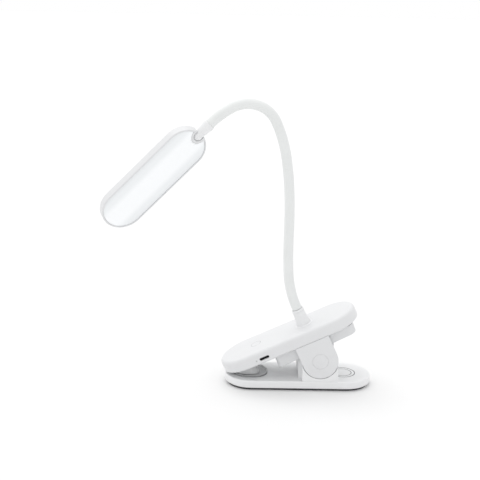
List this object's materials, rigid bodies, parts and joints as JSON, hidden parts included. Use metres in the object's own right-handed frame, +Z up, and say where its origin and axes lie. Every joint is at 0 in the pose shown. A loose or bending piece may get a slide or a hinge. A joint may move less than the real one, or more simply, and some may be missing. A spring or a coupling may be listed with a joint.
{
  "type": "clip-on reading lamp",
  "caption": "Clip-on reading lamp: sprung clip with a battery housing as its upper jaw, a bendable gooseneck, and a long flat light head on a swivel and tilt joint.",
  "frame": {"origin": "centre of the underside of the base, on the surface the lamp stands on", "axes": "+X to the finger end of the clip, -X to the jaw, +Z up; the lamp is drawn with the clip closed"},
  "size_m": [0.2358, 0.046, 0.2485],
  "materials": {
    "white_shell": "satin moulded plastic",
    "shade_white_shell": "satin moulded plastic",
    "white_sleeve": "smooth matt silicone",
    "dark_rubber": "matt",
    "grey_pad": "matt",
    "steel": "plated",
    "battery_wrap": "satin shrink wrap",
    "lead_sheath": "satin",
    "board": "solder mask",
    "component_black": "matt",
    "status_lens": "clear lens",
    "copper": "plated",
    "opal_diffuser": "opal, satin",
    "reflector_white": "gloss",
    "led_board_white": "white solder mask on aluminium",
    "led_yellow": "phosphor"
  },
  "bodies": {
    "base": {"base_plate": "white_shell", "base_cover": "shade_white_shell", "foot_pad": "dark_rubber", "cover_screws": "steel", "hinge_bracket": "white_shell", "bracket_screws": "steel", "lower_jaw_pad": "grey_pad", "hinge_pin": "steel", "torsion_spring": "steel"},
    "housing": {"upper_shell": "white_shell", "lower_shell": "white_shell", "battery_cover": "shade_white_shell", "battery_cell": "battery_wrap", "battery_leads": "lead_sheath", "circuit_board": "board", "board_components": "component_black", "usb_port": "steel", "status_light": "status_lens", "touch_spring": "copper", "upper_jaw_pad": "grey_pad", "housing_screws": "steel", "hinge_caps": "shade_white_shell", "neck_boot": "white_shell", "neck_root": "steel", "neck_nut": "steel", "lamp_lead": "lead_sheath"},
    "neck_1": {"neck_sleeve_1": "white_sleeve", "neck_core_1": "steel"},
    "neck_2": {"neck_sleeve_2": "white_sleeve", "neck_core_2": "steel"},
    "neck_3": {"neck_sleeve_3": "white_sleeve", "neck_core_3": "steel"},
    "neck_4": {"neck_sleeve_4": "white_sleeve", "neck_core_4": "steel"},
    "neck_5": {"neck_sleeve_5": "white_sleeve", "neck_core_5": "steel"},
    "neck_6": {"neck_sleeve_6": "white_sleeve", "neck_core_6": "steel"},
    "neck_7": {"neck_sleeve_7": "white_sleeve", "neck_core_7": "steel"},
    "neck_8": {"neck_sleeve_8": "white_sleeve", "neck_core_8": "steel"},
    "ferrule": {"head_ferrule": "white_shell"},
    "head": {"head_shell": "white_shell", "diffuser": "opal_diffuser", "reflector_tray": "reflector_white", "led_board": "led_board_white", "led_chips": "led_yellow", "board_screws": "steel", "tilt_pin": "steel"}
  },
  "joints": [
    {"name": "clip_hinge", "type": "hinge", "parent": "base", "child": "housing", "pos_m": [0.018, 0, 0.0273], "axis": [0, 1, 0], "range_deg": [0, 27], "stiffness_Nm_per_rad": 0.8, "springref_deg": -57.3, "deforming": ["torsion_spring"]},
    {"name": "neck_bend_1", "type": "hinge", "parent": "housing", "child": "neck_1", "pos_m": [-0.00253, 0, 0.06848], "axis": [0, -1, 0], "range_deg": [-15, 15], "deforming": ["lamp_lead"]},
    {"name": "neck_bend_2", "type": "hinge", "parent": "neck_1", "child": "neck_2", "pos_m": [-0.0107, 0, 0.10127], "axis": [-0.9986, 0, -0.0523], "range_deg": [-20, 20]},
    {"name": "neck_bend_3", "type": "hinge", "parent": "neck_2", "child": "neck_3", "pos_m": [-0.0113, 0, 0.13526], "axis": [0, -1, 0], "range_deg": [-20, 15]},
    {"name": "neck_bend_4", "type": "hinge", "parent": "neck_3", "child": "neck_4", "pos_m": [-0.01189, 0, 0.16925], "axis": [-0.9986, 0, -0.0523], "range_deg": [-20, 20]},
    {"name": "neck_bend_5", "type": "hinge", "parent": "neck_4", "child": "neck_5", "pos_m": [-0.01551, 0, 0.20102], "axis": [0, -1, 0], "range_deg": [-20, 12]},
    {"name": "neck_bend_6", "type": "hinge", "parent": "neck_5", "child": "neck_6", "pos_m": [-0.0245, 0, 0.22955], "axis": [-0.9063, 0, -0.4226], "range_deg": [-20, 20]},
    {"name": "neck_bend_7", "type": "hinge", "parent": "neck_6", "child": "neck_7", "pos_m": [-0.04083, 0, 0.24325], "axis": [0, -1, 0], "range_deg": [-20, 12]},
    {"name": "neck_bend_8", "type": "hinge", "parent": "neck_7", "child": "neck_8", "pos_m": [-0.06208, 0, 0.24045], "axis": [0.5, 0, -0.866], "range_deg": [-20, 20]},
    {"name": "head_swivel", "type": "hinge", "parent": "neck_8", "child": "ferrule", "pos_m": [-0.07949, 0, 0.22709], "axis": [-0.7071, 0, -0.7071], "range_deg": [-90, 90]},
    {"name": "head_tilt", "type": "hinge", "parent": "ferrule", "child": "head", "pos_m": [-0.08939, 0, 0.2172], "axis": [0.5862, 0.5592, -0.5862], "range_deg": [-25, 25]}
  ]
}
